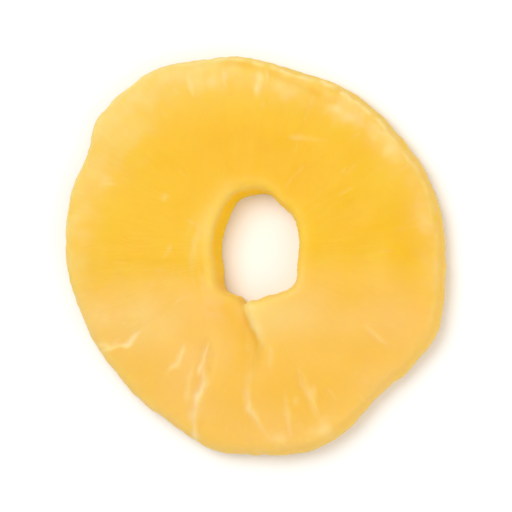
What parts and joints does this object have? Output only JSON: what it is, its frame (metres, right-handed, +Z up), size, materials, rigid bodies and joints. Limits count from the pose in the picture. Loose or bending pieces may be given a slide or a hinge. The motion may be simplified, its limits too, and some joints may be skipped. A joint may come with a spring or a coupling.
{
  "type": "dried pineapple ring",
  "caption": "A candied, dried slice of pineapple: a soft golden ring, slightly oval, with an upright oval hole and a crease running down from it.",
  "frame": {"origin": "on the surface the ring lies on, under the middle of its outline", "axes": "+Z up, out of the shown face; +Y towards the top of the ring as it is shown, away from the crease; +X towards its right side"},
  "size_m": [0.075, 0.077, 0.0091],
  "materials": {
    "pineapple_flesh": "soft, translucent golden fruit flesh with a satin, slightly sticky skin; paler towards the rim and round the hole"
  },
  "bodies": {
    "root": {"pineapple_ring": "pineapple_flesh"}
  },
  "joints": []
}
